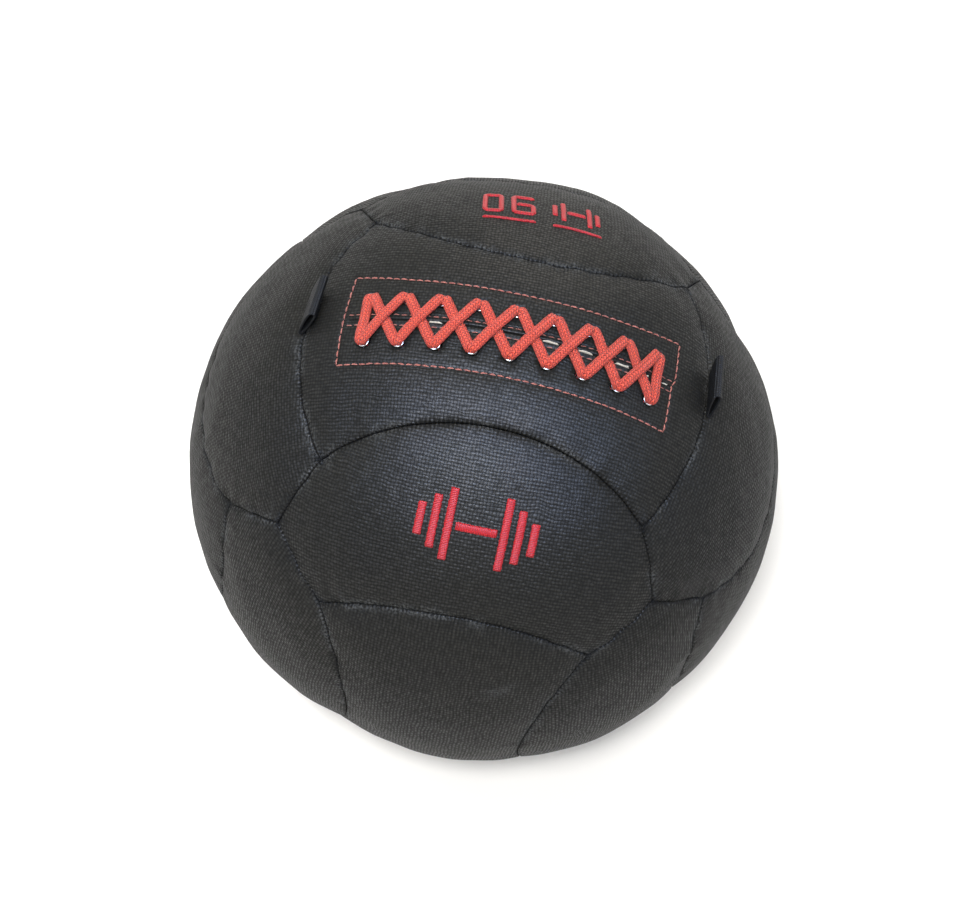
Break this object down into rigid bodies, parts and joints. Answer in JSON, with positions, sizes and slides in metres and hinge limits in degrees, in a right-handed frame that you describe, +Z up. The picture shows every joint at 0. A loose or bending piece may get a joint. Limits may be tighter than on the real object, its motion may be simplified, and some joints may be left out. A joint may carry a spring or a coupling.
{
  "type": "wall ball",
  "caption": "Soft weighted wall ball with a padded panelled cover, a laced filling slit on top and a webbing loop at each end of the lacing.",
  "frame": {"origin": "on the floor under the middle of the ball, in the flat that it rests on", "axes": "+Z up through the middle of the lace panel, +X along the slit to its right end, -Y towards the side that faces the camera below the lacing"},
  "size_m": [0.35, 0.35, 0.3497],
  "materials": {
    "cover_fabric": "vinyl-coated basket weave, satin",
    "lace_braid": "flat braided polyester, matt",
    "eyelet_metal": "nickel plated, bright",
    "backing_canvas": "plain canvas, matt",
    "webbing": "ribbed polypropylene webbing",
    "bag_cloth": "plain woven, matt",
    "shredded_fabric": "loose shreds",
    "sack_cloth": "calico, matt",
    "iron_sand": "loose grains",
    "tie_cord": "twisted nylon"
  },
  "bodies": {
    "ball": {"panel_top_lace": "cover_fabric", "panel_top_front": "cover_fabric", "panel_top_rear": "cover_fabric", "panel_bottom_centre": "cover_fabric", "panel_bottom_front": "cover_fabric", "panel_bottom_rear": "cover_fabric", "panel_front_centre": "cover_fabric", "panel_front_left": "cover_fabric", "panel_front_right": "cover_fabric", "panel_back_centre": "cover_fabric", "panel_back_left": "cover_fabric", "panel_back_right": "cover_fabric", "panel_right_centre": "cover_fabric", "panel_right_upper": "cover_fabric", "panel_right_lower": "cover_fabric", "panel_left_centre": "cover_fabric", "panel_left_upper": "cover_fabric", "panel_left_lower": "cover_fabric", "eyelet_rear_1": "eyelet_metal", "eyelet_rear_2": "eyelet_metal", "eyelet_rear_3": "eyelet_metal", "eyelet_rear_4": "eyelet_metal", "eyelet_rear_5": "eyelet_metal", "eyelet_rear_6": "eyelet_metal", "eyelet_rear_7": "eyelet_metal", "eyelet_rear_8": "eyelet_metal", "eyelet_rear_9": "eyelet_metal", "eyelet_front_1": "eyelet_metal", "eyelet_front_2": "eyelet_metal", "eyelet_front_3": "eyelet_metal", "eyelet_front_4": "eyelet_metal", "eyelet_front_5": "eyelet_metal", "eyelet_front_6": "eyelet_metal", "eyelet_front_7": "eyelet_metal", "eyelet_front_8": "eyelet_metal", "eyelet_front_9": "eyelet_metal", "lace": "lace_braid", "slit_facing": "backing_canvas", "inner_bag": "bag_cloth", "stuffing_lower": "shredded_fabric", "stuffing_upper": "shredded_fabric", "ballast_bag": "sack_cloth", "iron_sand": "iron_sand", "ballast_tie": "tie_cord"},
    "webbing_loop_left": {"webbing_loop_left": "webbing"},
    "webbing_loop_right": {"webbing_loop_right": "webbing"}
  },
  "joints": [
    {"name": "webbing_loop_left_bend", "type": "hinge", "parent": "ball", "child": "webbing_loop_left", "pos_m": [-0.11005, 0.0079, 0.30559], "axis": [0.0647, 0.9979, -0.0056], "range_deg": [-136, 14]},
    {"name": "webbing_loop_right_bend", "type": "hinge", "parent": "ball", "child": "webbing_loop_right", "pos_m": [0.11005, 0.0079, 0.30559], "axis": [0.0647, -0.9979, 0.0056], "range_deg": [-106, 44]}
  ]
}
